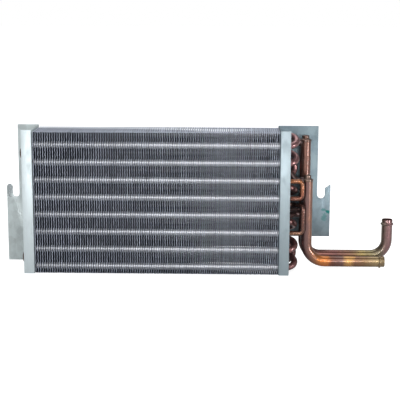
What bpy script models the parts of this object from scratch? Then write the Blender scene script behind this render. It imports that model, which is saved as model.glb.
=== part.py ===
"""Heater core: a three-row fin-and-tube coil between two galvanised end plates.

X runs right along the fins, Y runs back through the rows, Z is up. Metres.
The assembly stands on the lower edges of its end plates.
"""

import math

import bmesh
import bpy
from mathutils import Matrix, Vector

# Tube pattern
TUBE_PITCH = 0.0254
ROW_PITCH = 0.022
ROWS = 3
TUBES_PER_ROW = 8
TUBE_OD = 0.00952
TUBE_SIDES = 8
BEND_SIDES = 10
BEND_STEPS = 3
CORNER_STEPS = 4
FIT_GAP = 0.0003

# Fin pack
CORE_LENGTH = 0.3535
FIN_COUNT = 22
FIN_SHEET = 0.0003
FIN_FOOT = 0.0020
FIN_HEAD = 0.0006
FIN_HEIGHT = FIN_FOOT + TUBES_PER_ROW * TUBE_PITCH + FIN_HEAD
FIN_DEPTH = ROWS * ROW_PITCH
FIN_END_GAP = 0.0006
COLLAR_SIDES = 4
COLLAR_WALL = 0.0003

# End plates
SHEET = 0.0012
FOLD_RADIUS = 0.0016
FOLD_STEPS = 3
PLATE_BELOW_FINS = 0.0010
PLATE_ABOVE_FINS = 0.0030
PLATE_HEIGHT = PLATE_BELOW_FINS + FIN_HEIGHT + PLATE_ABOVE_FINS
FLANGE_PROUD = 0.0015
FRONT_FLANGE = 0.0150

# Left hook bracket, from the left web outwards
LEFT_WIDE = 0.0506
LEFT_FINGER = 0.0089
LEFT_SLOT = 0.0098
LEFT_SLOT_OUTER = LEFT_WIDE - LEFT_FINGER
LEFT_NARROW = LEFT_SLOT_OUTER - LEFT_SLOT
LEFT_SLOT_BOTTOM = 0.1009
LEFT_SLOT_DEPTH = 0.0194
LEFT_FINGER_TOP = LEFT_SLOT_BOTTOM + LEFT_SLOT_DEPTH
LEFT_WIDE_BOTTOM = 0.0036

# Right hook bracket, from the right web outwards
RIGHT_WIDE = 0.0788
RIGHT_FINGER = 0.0082
RIGHT_SLOT = 0.0113
RIGHT_SLOT_OUTER = RIGHT_WIDE - RIGHT_FINGER
RIGHT_NARROW = RIGHT_SLOT_OUTER - RIGHT_SLOT
RIGHT_SLOT_BOTTOM = 0.1015
RIGHT_SLOT_DEPTH = 0.0155
RIGHT_TIP_RISE = 0.0050
RIGHT_FINGER_INNER_TOP = RIGHT_SLOT_BOTTOM + RIGHT_SLOT_DEPTH
RIGHT_FINGER_TOP = RIGHT_FINGER_INNER_TOP + RIGHT_TIP_RISE
RIGHT_WIDE_BOTTOM = 0.0437
PLATE_FOOT = 0.0140
INNER_CORNER = 0.0030
CORNER_ARC_STEPS = 4
SLOT_ARC_STEPS = 6

# Copper beyond the webs
STUB_OUT = 0.0063
HAIRPIN_STRAIGHT = 0.0006
RETURN_STRAIGHT = 0.0115
CROSS_OD = 0.0068
UPPER_CROSS_REACH = 0.0329
LOWER_CROSS_REACH = 0.0344
LOWER_CROSS_SHOULDER = 0.0220
LOWER_CROSS_RISE = 0.0015
CROSS_CORNER = 0.0055
STUB_CORNER = 0.0075

# Hose pipes
PIPE_OD = 0.0160
PIPE_WALL = 0.0011
PIPE_SIDES = 14
PIPE_STEPS = 7
BEAD_PROUD = 0.0016
BEAD_RADIUS = PIPE_OD / 2 + BEAD_PROUD
BEAD_WIDTH = 0.0034
BEAD_FROM_END = 0.0070
CAP_HEIGHT = 0.0066
CAP_PROFILE = ((0.10, 0.90), (0.24, 0.68), (0.78, 0.66), (1.0, 0.42))
INLET_HEADER_REACH = 0.0414
OUTLET_HEADER_REACH = 0.0397
INLET_AHEAD_OF_ROW_2 = 0.0060
INLET_STUB_DROP = 0.01435
INLET_ABOVE_STUB = 0.0022
INLET_RUN_Z = 0.0153
INLET_CORNER = 0.0275
INLET_REACH = 0.1561
INLET_END_X = CORE_LENGTH + INLET_REACH
OUTLET_ABOVE_STUB = 0.0040
OUTLET_RUN_Z = 0.0179
OUTLET_CORNER = 0.0240
OUTLET_REACH = 0.1626
OUTLET_RISE_X = CORE_LENGTH + OUTLET_REACH
OUTLET_END_Z = 0.0730
STUB_KNEE_X = 0.0130
STUB_STEP_X = 0.0240

# The origin is below the middle of the whole assembly
LEFT_REACH = -LEFT_WIDE
RIGHT_REACH = OUTLET_RISE_X + BEAD_RADIUS
MIDDLE = Vector(((LEFT_REACH + RIGHT_REACH) / 2, FIN_DEPTH / 2, 0.0))

# (row, tube counted from the top) of the two legs of each bend
HAIRPINS = (
    ((1, 1), (1, 2)),
    ((2, 1), (3, 1)),
    ((2, 2), (3, 2)),
    ((1, 3), (2, 3)),
    ((3, 3), (3, 4)),
    ((1, 4), (2, 4)),
    ((1, 5), (2, 5)),
    ((2, 6), (3, 5)),
    ((3, 6), (3, 7)),
    ((1, 6), (2, 7)),
    ((1, 7), (1, 8)),
    ((2, 8), (3, 8)),
)
RETURN_BENDS = (
    ((1, 1), (2, 1)),
    ((1, 2), (2, 2)),
    ((3, 2), (3, 3)),
    ((2, 4), (3, 4)),
    ((2, 6), (3, 6)),
    ((1, 7), (2, 7)),
    ((3, 7), (3, 8)),
    ((1, 8), (2, 8)),
)

FINS = ((0.62, 0.64, 0.66, 1.0), 1.0, 0.38)
GALVANISED = ((0.60, 0.66, 0.68, 1.0), 1.0, 0.42)
COPPER = ((0.72, 0.38, 0.27, 1.0), 1.0, 0.34)
COPPER_BROWN = ((0.50, 0.27, 0.17, 1.0), 1.0, 0.42)
BRASS_TINT = ((0.62, 0.43, 0.20, 1.0), 1.0, 0.36)


def clear_scene():
    for obj in list(bpy.data.objects):
        bpy.data.objects.remove(obj, do_unlink=True)


def paint(obj, colour):
    base, metallic, roughness = colour
    material = bpy.data.materials.new(obj.name + "_finish")
    material.use_nodes = True
    shader = material.node_tree.nodes["Principled BSDF"]
    shader.inputs["Base Color"].default_value = base
    shader.inputs["Metallic"].default_value = metallic
    shader.inputs["Roughness"].default_value = roughness
    material.diffuse_color = base
    obj.data.materials.append(material)


def to_object(name, bm, colour):
    """Closes the work on a mesh: faces outwards, placed about the origin, painted."""
    bmesh.ops.recalc_face_normals(bm, faces=bm.faces)
    bmesh.ops.translate(bm, verts=bm.verts, vec=-MIDDLE)
    mesh = bpy.data.meshes.new(name)
    bm.to_mesh(mesh)
    bm.free()
    obj = bpy.data.objects.new(name, mesh)
    bpy.context.scene.collection.objects.link(obj)
    paint(obj, colour)
    return obj


def smooth(obj, degrees=40.0):
    obj.data.shade_smooth()
    obj.data.set_sharp_from_angle(angle=math.radians(degrees))


def tube_centre(row, number):
    """Y and Z of a tube, with the middle row half a pitch above the outer rows."""
    drop = 0.25 if row == 2 else 0.75
    top = PLATE_BELOW_FINS + FIN_HEIGHT - FIN_HEAD
    return (row - 0.5) * ROW_PITCH, top - (drop + number - 1) * TUBE_PITCH


def ring_points(radius, sides):
    turn = 2 * math.pi / sides
    return [
        Vector((radius * math.cos(turn * (i + 0.5)), radius * math.sin(turn * (i + 0.5)), 0.0))
        for i in range(sides)
    ]


def ring(bm, radius, sides, place):
    verts = [bm.verts.new(place @ point) for point in ring_points(radius, sides)]
    return [bm.edges.new((verts[i], verts[i - 1])) for i in range(sides)]


def facing(position, heading, up):
    """A frame whose Z is the heading and whose Y is as near as can be to up."""
    z = heading.normalized()
    x = up.cross(z).normalized()
    y = z.cross(x)
    turn = Matrix((x, y, z)).transposed().to_4x4()
    return Matrix.Translation(position) @ turn


def carry(bm, face_set, move):
    """Extrudes the end of a tube and moves the new end. Only the very first end stays closed."""
    inside = len(bm.faces) > len(face_set)
    made = bmesh.ops.extrude_face_region(bm, geom=face_set)["geom"]
    verts = [item for item in made if isinstance(item, bmesh.types.BMVert)]
    bmesh.ops.transform(bm, matrix=move, verts=verts)
    if inside:
        bmesh.ops.delete(bm, geom=face_set, context="FACES")
    return [item for item in made if isinstance(item, bmesh.types.BMFace)]


def swell(face_set, centre, outer, radius):
    """Sets the outer radius of the end ring and leaves its bore."""
    for vert in {vert for face in face_set for vert in face.verts}:
        arm = vert.co - centre
        if arm.length > outer - PIPE_WALL / 2:
            vert.co = centre + arm.normalized() * radius


def start_face(bm, place, outer, bore, sides):
    edges = ring(bm, outer, sides, place)
    if bore:
        edges += ring(bm, bore, sides, place)
        return bmesh.ops.bridge_loops(bm, edges=edges)["faces"]
    return [bm.faces.new([edge.verts[0] for edge in edges])]


def bend(bm, face_set, position, heading, after, corner, steps):
    """Takes the end of a tube round one corner of its path."""
    angle = heading.angle(after)
    axis = heading.cross(after).normalized()
    centre = position + axis.cross(heading).normalized() * corner
    turn = Matrix.Rotation(angle / steps, 4, axis)
    move = Matrix.Translation(centre) @ turn @ Matrix.Translation(-centre)
    for _ in range(steps):
        face_set = carry(bm, face_set, move)
        position = move @ position
    return face_set, position


def sweep(path, corners, outer, sides, steps, bore=0.0, bead=False):
    """A tube along straight runs joined by arcs, with an optional hose bead at its end."""
    bm = bmesh.new()
    points = [Vector(point) for point in path]
    heading = (points[1] - points[0]).normalized()
    up = Vector((0, 1, 0)) if abs(heading.z) > 0.5 else Vector((0, 0, 1))
    position = points[0].copy()
    faces = start_face(bm, facing(position, heading, up), outer, bore, sides)
    for index, corner in enumerate(corners, start=1):
        after = (points[index + 1] - points[index]).normalized()
        reach = corner * math.tan(heading.angle(after) / 2)
        arc_start = points[index] - heading * reach
        if (arc_start - position).length > FIT_GAP:
            faces = carry(bm, faces, Matrix.Translation(arc_start - position))
        faces, position = bend(bm, faces, arc_start, heading, after, corner, steps)
        heading = after
    if bead:
        faces, position = add_bead(bm, faces, position, points[-1], heading, outer)
    carry(bm, faces, Matrix.Translation(points[-1] - position))
    return bm


def add_bead(bm, faces, position, end, heading, outer):
    """Rolls the raised ring that keeps a hose on."""
    middle = end - heading * BEAD_FROM_END
    profile = ((-0.5, outer), (-0.2, BEAD_RADIUS), (0.2, BEAD_RADIUS), (0.5, outer))
    now = outer
    for along, radius in profile:
        target = middle + heading * BEAD_WIDTH * along
        faces = carry(bm, faces, Matrix.Translation(target - position))
        position = target
        swell(faces, position, now, radius)
        now = radius
    return faces, position


def hairpin(name, first, second):
    """Two legs through the whole pack joined by a bend beyond the left web."""
    y1, z1 = tube_centre(*first)
    y2, z2 = tube_centre(*second)
    right = CORE_LENGTH + SHEET + STUB_OUT
    corner = math.hypot(y2 - y1, z2 - z1) / 2
    left = -SHEET - HAIRPIN_STRAIGHT - corner
    path = ((right, y1, z1), (left, y1, z1), (left, y2, z2), (right, y2, z2))
    bm = sweep(path, (corner, corner), TUBE_OD / 2, TUBE_SIDES, BEND_STEPS)
    return to_object(name, bm, COPPER)


def return_bend(name, first, second):
    y1, z1 = tube_centre(*first)
    y2, z2 = tube_centre(*second)
    base = CORE_LENGTH + SHEET + STUB_OUT + FIT_GAP
    corner = math.hypot(y2 - y1, z2 - z1) / 2
    top = CORE_LENGTH + RETURN_STRAIGHT + corner
    path = ((base, y1, z1), (top, y1, z1), (top, y2, z2), (base, y2, z2))
    bm = sweep(path, (corner, corner), TUBE_OD / 2, BEND_SIDES, BEND_STEPS)
    return to_object(name, bm, COPPER)


def tube_run(name, path, corner, outer):
    corners = (corner,) * (len(path) - 2)
    bm = sweep([past_web(*point) for point in path], corners, outer, BEND_SIDES, CORNER_STEPS)
    return to_object(name, bm, COPPER)


def past_web(x, y, z):
    return CORE_LENGTH + x, y, z


def crossovers():
    """The square C between two front tubes and the skewed one below it."""
    base = SHEET + STUB_OUT + FIT_GAP
    y1, z1 = tube_centre(1, 3)
    z2 = tube_centre(1, 4)[1]
    upper = ((base, y1, z1), (UPPER_CROSS_REACH, y1, z1), (UPPER_CROSS_REACH, y1, z2), (base, y1, z2))
    y3, z3 = tube_centre(2, 5)
    y4, z4 = tube_centre(1, 6)
    lower = (
        (base, y3, z3),
        (LOWER_CROSS_SHOULDER, y3, z3),
        (LOWER_CROSS_REACH, y4, z3 + LOWER_CROSS_RISE),
        (LOWER_CROSS_REACH, y4, z4),
        (base, y4, z4),
    )
    return [
        tube_run("crossover_upper", upper, CROSS_CORNER, CROSS_OD / 2),
        tube_run("crossover_lower", lower, CROSS_CORNER, CROSS_OD / 2),
    ]


def header_tops():
    """Top ends of the front and the rear header, set from the highest tube that each one serves."""
    row_2, served = tube_centre(2, 3)
    stub = served - INLET_STUB_DROP
    inlet = (INLET_HEADER_REACH, row_2 - INLET_AHEAD_OF_ROW_2, stub + INLET_ABOVE_STUB)
    row_3, served = tube_centre(3, 1)
    outlet = (OUTLET_HEADER_REACH, row_3, served + OUTLET_ABOVE_STUB)
    return past_web(*inlet), past_web(*outlet)


def header_stubs():
    """Short tubes between the coil and the two standing headers."""
    base = SHEET + STUB_OUT + FIT_GAP
    inlet_wall = INLET_HEADER_REACH - PIPE_OD / 2 - FIT_GAP
    outlet_wall = OUTLET_HEADER_REACH - PIPE_OD / 2 - FIT_GAP
    inlet_y = header_tops()[0][1]
    y1, z1 = tube_centre(2, 3)
    low = z1 - INLET_STUB_DROP
    y2, z2 = tube_centre(1, 5)
    paths = {
        "inlet_stub_upper": (
            (base, y1, z1),
            (STUB_KNEE_X, y1, z1),
            (STUB_STEP_X, inlet_y, low),
            (inlet_wall, inlet_y, low),
        ),
        "inlet_stub_lower": (
            (base, y2, z2),
            (STUB_KNEE_X, y2, z2),
            (STUB_STEP_X, inlet_y, z2),
            (inlet_wall, inlet_y, z2),
        ),
    }
    for name, tube in (("outlet_stub_upper", (3, 1)), ("outlet_stub_lower", (3, 5))):
        y, z = tube_centre(*tube)
        paths[name] = ((base, y, z), (outlet_wall, y, z))
    return [tube_run(name, path, STUB_CORNER, TUBE_OD / 2) for name, path in paths.items()]


def hose_pipes():
    """The two bent hose pipes, each open at its beaded end and at its capped header end."""
    (inlet_x, inlet_y, inlet_top), (outlet_x, outlet_y, outlet_top) = header_tops()
    inlet = (
        (inlet_x, inlet_y, inlet_top),
        (inlet_x, inlet_y, INLET_RUN_Z),
        (INLET_END_X, inlet_y, INLET_RUN_Z),
    )
    outlet = (
        (outlet_x, outlet_y, outlet_top),
        (outlet_x, outlet_y, OUTLET_RUN_Z),
        (OUTLET_RISE_X, outlet_y, OUTLET_RUN_Z),
        (OUTLET_RISE_X, outlet_y, OUTLET_END_Z),
    )
    outer = PIPE_OD / 2
    bore = outer - PIPE_WALL
    made = []
    for name, path, corner, colour in (
        ("inlet_pipe", inlet, INLET_CORNER, BRASS_TINT),
        ("outlet_pipe", outlet, OUTLET_CORNER, COPPER_BROWN),
    ):
        corners = (corner,) * (len(path) - 2)
        bm = sweep(path, corners, outer, PIPE_SIDES, PIPE_STEPS, bore=bore, bead=True)
        made.append(to_object(name, bm, colour))
    return made


def header_caps():
    """Caps brazed over the tops of the headers, each drawn in to a small knob."""
    made = []
    for name, top in zip(("inlet_cap", "outlet_cap"), header_tops()):
        bm = bmesh.new()
        seat = Vector(top) + Vector((0, 0, FIT_GAP))
        faces = start_face(bm, Matrix.Translation(seat), PIPE_OD / 2, 0.0, PIPE_SIDES)
        height, share = 0.0, 1.0
        for part, next_share in CAP_PROFILE:
            next_height = CAP_HEIGHT * part
            middle = seat + Vector((0, 0, next_height))
            faces = carry(bm, faces, Matrix.Translation((0, 0, next_height - height)))
            for vert in {vert for face in faces for vert in face.verts}:
                vert.co = middle + (vert.co - middle) * next_share / share
            height, share = next_height, next_share
        made.append(to_object(name, bm, COPPER_BROWN))
    return made


def fin_face(bm, x, collar):
    """One side of a fin with its row of collar mouths. Returns the rim and the mouths."""
    bottom = PLATE_BELOW_FINS
    top = bottom + FIN_HEIGHT
    corners = ((0, bottom), (FIN_DEPTH, bottom), (FIN_DEPTH, top), (0, top))
    verts = [bm.verts.new((x, y, z)) for y, z in corners]
    rim = [bm.edges.new((verts[i - 1], verts[i])) for i in range(4)]
    mouths = []
    for row in range(1, ROWS + 1):
        for number in range(1, TUBES_PER_ROW + 1):
            y, z = tube_centre(row, number)
            place = facing(Vector((x, y, z)), Vector((1, 0, 0)), Vector((0, 0, 1)))
            mouths.append(ring(bm, collar, COLLAR_SIDES, place))
    edges = rim + [edge for mouth in mouths for edge in mouth]
    bmesh.ops.triangle_fill(bm, edges=edges, use_beauty=True, normal=(1, 0, 0))
    return rim, mouths


def bridge(bm, first, second):
    bmesh.ops.bridge_loops(bm, edges=first + second)


def fin_pack():
    """Fins joined by their own collars, with a straight bore round every tube."""
    bm = bmesh.new()
    flat = math.cos(math.pi / COLLAR_SIDES)
    bore = (TUBE_OD / 2 + FIT_GAP) / flat
    collar = bore + COLLAR_WALL / flat
    first = FIN_END_GAP
    step = (CORE_LENGTH - 2 * FIN_END_GAP - FIN_SHEET) / (FIN_COUNT - 1)
    end_mouths = []
    behind = None
    for index in range(FIN_COUNT):
        x = first + index * step
        last = index == FIN_COUNT - 1
        near_rim, near = fin_face(bm, x, bore if index == 0 else collar)
        far_rim, far = fin_face(bm, x + FIN_SHEET, bore if last else collar)
        bridge(bm, near_rim, far_rim)
        if index == 0:
            end_mouths.append(near)
        if last:
            end_mouths.append(far)
        if behind:
            for one, other in zip(behind, near):
                bridge(bm, one, other)
        behind = far
    for one, other in zip(*end_mouths):
        bridge(bm, one, other)
    return to_object("fin_pack", bm, FINS)


def arc(centre, radius, start, end, steps):
    """Points of an arc in a flat outline, angles in degrees."""
    turn = [math.radians(start + (end - start) * i / steps) for i in range(steps + 1)]
    return [(centre[0] + radius * math.cos(a), centre[1] + radius * math.sin(a)) for a in turn]


def prism(name, outline, depth_axis, low, high):
    """A solid from a flat outline. The outline is X and Y, or X and Z when it runs along Y."""
    bm = bmesh.new()
    if depth_axis == "Z":
        verts = [bm.verts.new((x, y, low)) for x, y in outline]
        move = Vector((0, 0, high - low))
    else:
        verts = [bm.verts.new((x, low, z)) for x, z in outline]
        move = Vector((0, high - low, 0))
    face = bm.faces.new(verts)
    carry(bm, [face], Matrix.Translation(move))
    bmesh.ops.recalc_face_normals(bm, faces=bm.faces)
    mesh = bpy.data.meshes.new(name)
    bm.to_mesh(mesh)
    bm.free()
    obj = bpy.data.objects.new(name, mesh)
    bpy.context.scene.collection.objects.link(obj)
    return obj


def channel_outline(rear_flange):
    """A folded channel seen from above, its web at X = 0 and its flanges towards +X."""
    front = -FLANGE_PROUD
    back = FIN_DEPTH + FLANGE_PROUD
    outer = FOLD_RADIUS
    inner = FOLD_RADIUS - SHEET
    points = [(FRONT_FLANGE, front)]
    points += arc((outer, front + outer), outer, 270, 180, FOLD_STEPS)
    points += arc((outer, back - outer), outer, 180, 90, FOLD_STEPS)
    points += [(rear_flange, back), (rear_flange, back - SHEET)]
    points += arc((outer, back - outer), inner, 90, 180, FOLD_STEPS)
    points += arc((outer, front + outer), inner, 180, 270, FOLD_STEPS)
    points += [(FRONT_FLANGE, front + SHEET)]
    return points


def foot_cut(wide, wide_bottom):
    """What is cut from the foot of a rear flange below its wide part."""
    corner = (PLATE_FOOT + INNER_CORNER, wide_bottom - INNER_CORNER)
    points = [(PLATE_FOOT, -SHEET)]
    points += arc(corner, INNER_CORNER, 180, 90, CORNER_ARC_STEPS)
    return points + [(wide + SHEET, wide_bottom), (wide + SHEET, -SHEET)]


def left_cuts():
    """What is cut from the left rear flange above its hook slot and finger and below its wide part."""
    slot = (LEFT_SLOT_OUTER - LEFT_NARROW) / 2
    slot_middle = (LEFT_SLOT_OUTER + LEFT_NARROW) / 2
    tip = (LEFT_WIDE - LEFT_SLOT_OUTER) / 2
    tip_middle = (LEFT_WIDE + LEFT_SLOT_OUTER) / 2
    over = PLATE_HEIGHT + SHEET
    past = LEFT_WIDE + SHEET
    points = [(LEFT_NARROW, over)]
    points += arc((slot_middle, LEFT_SLOT_BOTTOM + slot), slot, 180, 360, SLOT_ARC_STEPS)
    points += arc((tip_middle, LEFT_FINGER_TOP - tip), tip, 180, 0, SLOT_ARC_STEPS)
    points += [(past, LEFT_FINGER_TOP - tip), (past, over)]
    return [points, foot_cut(LEFT_WIDE, LEFT_WIDE_BOTTOM)]


def right_cuts():
    """What is cut from the right rear flange above its hook slot and below its wide part."""
    slot = (RIGHT_SLOT_OUTER - RIGHT_NARROW) / 2
    slot_middle = (RIGHT_SLOT_OUTER + RIGHT_NARROW) / 2
    over = PLATE_HEIGHT + SHEET
    past = RIGHT_WIDE + SHEET
    upper = [(RIGHT_NARROW, over)]
    upper += arc((slot_middle, RIGHT_SLOT_BOTTOM + slot), slot, 180, 360, SLOT_ARC_STEPS)
    upper += [(RIGHT_SLOT_OUTER, RIGHT_FINGER_INNER_TOP), (RIGHT_WIDE - SHEET, RIGHT_FINGER_TOP)]
    upper += [(past, RIGHT_FINGER_TOP), (past, over)]
    return [upper, foot_cut(RIGHT_WIDE, RIGHT_WIDE_BOTTOM)]


def tube_hole_cutter():
    """All tube holes of a web as one cutter."""
    bm = bmesh.new()
    radius = (TUBE_OD / 2 + FIT_GAP) / math.cos(math.pi / TUBE_SIDES)
    for row in range(1, ROWS + 1):
        for number in range(1, TUBES_PER_ROW + 1):
            y, z = tube_centre(row, number)
            start = Vector((-SHEET, y, z))
            place = facing(start, Vector((1, 0, 0)), Vector((0, 0, 1)))
            faces = start_face(bm, place, radius, 0.0, TUBE_SIDES)
            made = bmesh.ops.extrude_face_region(bm, geom=faces)["geom"]
            far = [item for item in made if isinstance(item, bmesh.types.BMVert)]
            bmesh.ops.translate(bm, verts=far, vec=(3 * SHEET, 0, 0))
    bmesh.ops.recalc_face_normals(bm, faces=bm.faces)
    mesh = bpy.data.meshes.new("tube_holes")
    bm.to_mesh(mesh)
    bm.free()
    obj = bpy.data.objects.new("tube_holes", mesh)
    bpy.context.scene.collection.objects.link(obj)
    return obj


def cut(obj, cutter):
    modifier = obj.modifiers.new("cut_" + cutter.name, "BOOLEAN")
    modifier.operation = "DIFFERENCE"
    modifier.solver = "EXACT"
    modifier.object = cutter
    bpy.context.view_layer.update()
    graph = bpy.context.evaluated_depsgraph_get()
    result = bpy.data.meshes.new_from_object(obj.evaluated_get(graph))
    obj.modifiers.clear()
    obj.data = result
    bpy.data.objects.remove(cutter, do_unlink=True)


def end_plate(name, rear_flange, cuts, web_x, side):
    """A folded end plate. side is 1 when its flanges point right and -1 when they point left."""
    plate = prism(name, channel_outline(rear_flange), "Z", 0.0, PLATE_HEIGHT)
    cut(plate, tube_hole_cutter())
    back = FIN_DEPTH + FLANGE_PROUD
    for index, outline in enumerate(cuts):
        cut(plate, prism(f"{name}_cut_{index}", outline, "Y", back - 3 * SHEET, back + SHEET))
    bm = bmesh.new()
    bm.from_mesh(plate.data)
    bpy.data.objects.remove(plate, do_unlink=True)
    bmesh.ops.scale(bm, vec=(side, 1, 1), verts=bm.verts)
    bmesh.ops.translate(bm, vec=(web_x, 0, 0), verts=bm.verts)
    return to_object(name, bm, GALVANISED)


def build():
    clear_scene()
    fin_pack()
    end_plate("left_end_plate", LEFT_WIDE, left_cuts(), 0.0, -1)
    end_plate("right_end_plate", RIGHT_WIDE, right_cuts(), CORE_LENGTH, 1)
    round_pieces = []
    for number, legs in enumerate(HAIRPINS, start=1):
        round_pieces.append(hairpin(f"hairpin_{number:02d}", *legs))
    for number, legs in enumerate(RETURN_BENDS, start=1):
        round_pieces.append(return_bend(f"return_bend_{number:02d}", *legs))
    round_pieces += crossovers() + header_stubs() + hose_pipes() + header_caps()
    for obj in round_pieces:
        smooth(obj)


build()
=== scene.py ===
"""The looks of a heater core: finned coil, galvanised end plates, copper bends and hose pipes.

Each sub-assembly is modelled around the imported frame, in the frame's own metres:
X runs right along the coil, Y runs back through its three rows and Z is up.
"""

from __future__ import annotations

import logging
import math
from collections.abc import Callable, Mapping, Sequence
from dataclasses import dataclass, field
from enum import Enum
from typing import Union

import bpy
from mathutils import Matrix, Vector


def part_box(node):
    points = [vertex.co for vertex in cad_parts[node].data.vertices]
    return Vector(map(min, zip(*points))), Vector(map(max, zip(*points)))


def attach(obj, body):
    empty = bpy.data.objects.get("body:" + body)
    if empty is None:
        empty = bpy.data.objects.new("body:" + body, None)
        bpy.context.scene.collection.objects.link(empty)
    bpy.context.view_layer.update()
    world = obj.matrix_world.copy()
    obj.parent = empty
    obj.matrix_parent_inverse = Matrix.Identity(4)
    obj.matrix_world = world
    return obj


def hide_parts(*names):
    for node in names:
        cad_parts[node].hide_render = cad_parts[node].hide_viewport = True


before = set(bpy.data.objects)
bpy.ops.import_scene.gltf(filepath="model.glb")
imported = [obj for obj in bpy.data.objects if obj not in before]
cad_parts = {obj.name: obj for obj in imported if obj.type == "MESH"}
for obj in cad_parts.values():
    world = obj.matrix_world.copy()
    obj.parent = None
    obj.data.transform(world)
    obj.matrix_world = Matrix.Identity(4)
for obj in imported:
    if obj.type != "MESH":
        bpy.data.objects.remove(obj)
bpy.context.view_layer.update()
LOG = logging.getLogger("heater_core")

Piece = bpy.types.Object
Colour = tuple[float, float, float, float]
Bands = tuple[tuple[float, Colour], ...]
Point = tuple[float, float, float]
Span = tuple[float, float]
Place = tuple[int, int]
Legs = tuple[Place, Place]


def tone(red: int, green: int, blue: int) -> Colour:
    """Turn a display colour, each value from 0 to 255, into the linear one that a shader takes."""
    shares = [value / 255 for value in (red, green, blue)]
    linear = [s / 12.92 if s <= 0.04045 else ((s + 0.055) / 1.055) ** 2.4 for s in shares]
    return (linear[0], linear[1], linear[2], 1.0)


def heat(*stops: tuple[float, int, int, int]) -> Bands:
    """Return the bands of a heat tint, each given as its position and its display colour."""
    return tuple((position, tone(*colour)) for position, *colour in stops)


class Axis(Enum):
    """A direction of the frame, as the name of a Separate XYZ output."""

    ALONG = "X"
    DEPTH = "Y"
    HEIGHT = "Z"


class Pick(Enum):
    """What edit mode selects, as its three select mode switches."""

    POINTS = (True, False, False)
    EDGES = (False, True, False)
    FACES = (False, False, True)


# --------------------------------------------------------------------------- shader tools


class Signal:
    """A number that varies over a surface. Python's operators on it add Math nodes."""

    def __init__(self, sheet: NodeSheet, socket: bpy.types.NodeSocket) -> None:
        """Wrap the output socket of a node sheet that carries the number."""
        self.sheet = sheet
        self.socket = socket

    def _maths(self, operation: str, first: Operand, second: Operand) -> Signal:
        """Add one Math node, by Blender's name of the sum, and return its result."""
        node = self.sheet.node("ShaderNodeMath", {"operation": operation}, {0: first, 1: second})
        return Signal(self.sheet, node.outputs[0])

    def __add__(self, other: Operand) -> Signal:
        """Return the sum."""
        return self._maths("ADD", self, other)

    def __radd__(self, other: Operand) -> Signal:
        """Return the reflected sum."""
        return self._maths("ADD", other, self)

    def __sub__(self, other: Operand) -> Signal:
        """Return the difference."""
        return self._maths("SUBTRACT", self, other)

    def __rsub__(self, other: Operand) -> Signal:
        """Return the reflected difference."""
        return self._maths("SUBTRACT", other, self)

    def __mul__(self, other: Operand) -> Signal:
        """Return the product."""
        return self._maths("MULTIPLY", self, other)

    def __rmul__(self, other: Operand) -> Signal:
        """Return the reflected product."""
        return self._maths("MULTIPLY", other, self)

    def __truediv__(self, other: Operand) -> Signal:
        """Return the quotient."""
        return self._maths("DIVIDE", self, other)

    def between(self, low: float, high: float) -> Signal:
        """Fade smoothly from 0 at one value to 1 at another.

        Args:
            low: The value that becomes 0.
            high: The value that becomes 1. It may lie below the other.

        Returns:
            The faded signal, held between 0 and 1.
        """
        node = self.sheet.node(
            "ShaderNodeMapRange",
            {"interpolation_type": "SMOOTHSTEP", "clamp": True},
            {"Value": self, "From Min": low, "From Max": high},
        )
        return Signal(self.sheet, node.outputs["Result"])


Operand = Union[Signal, float]


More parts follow.
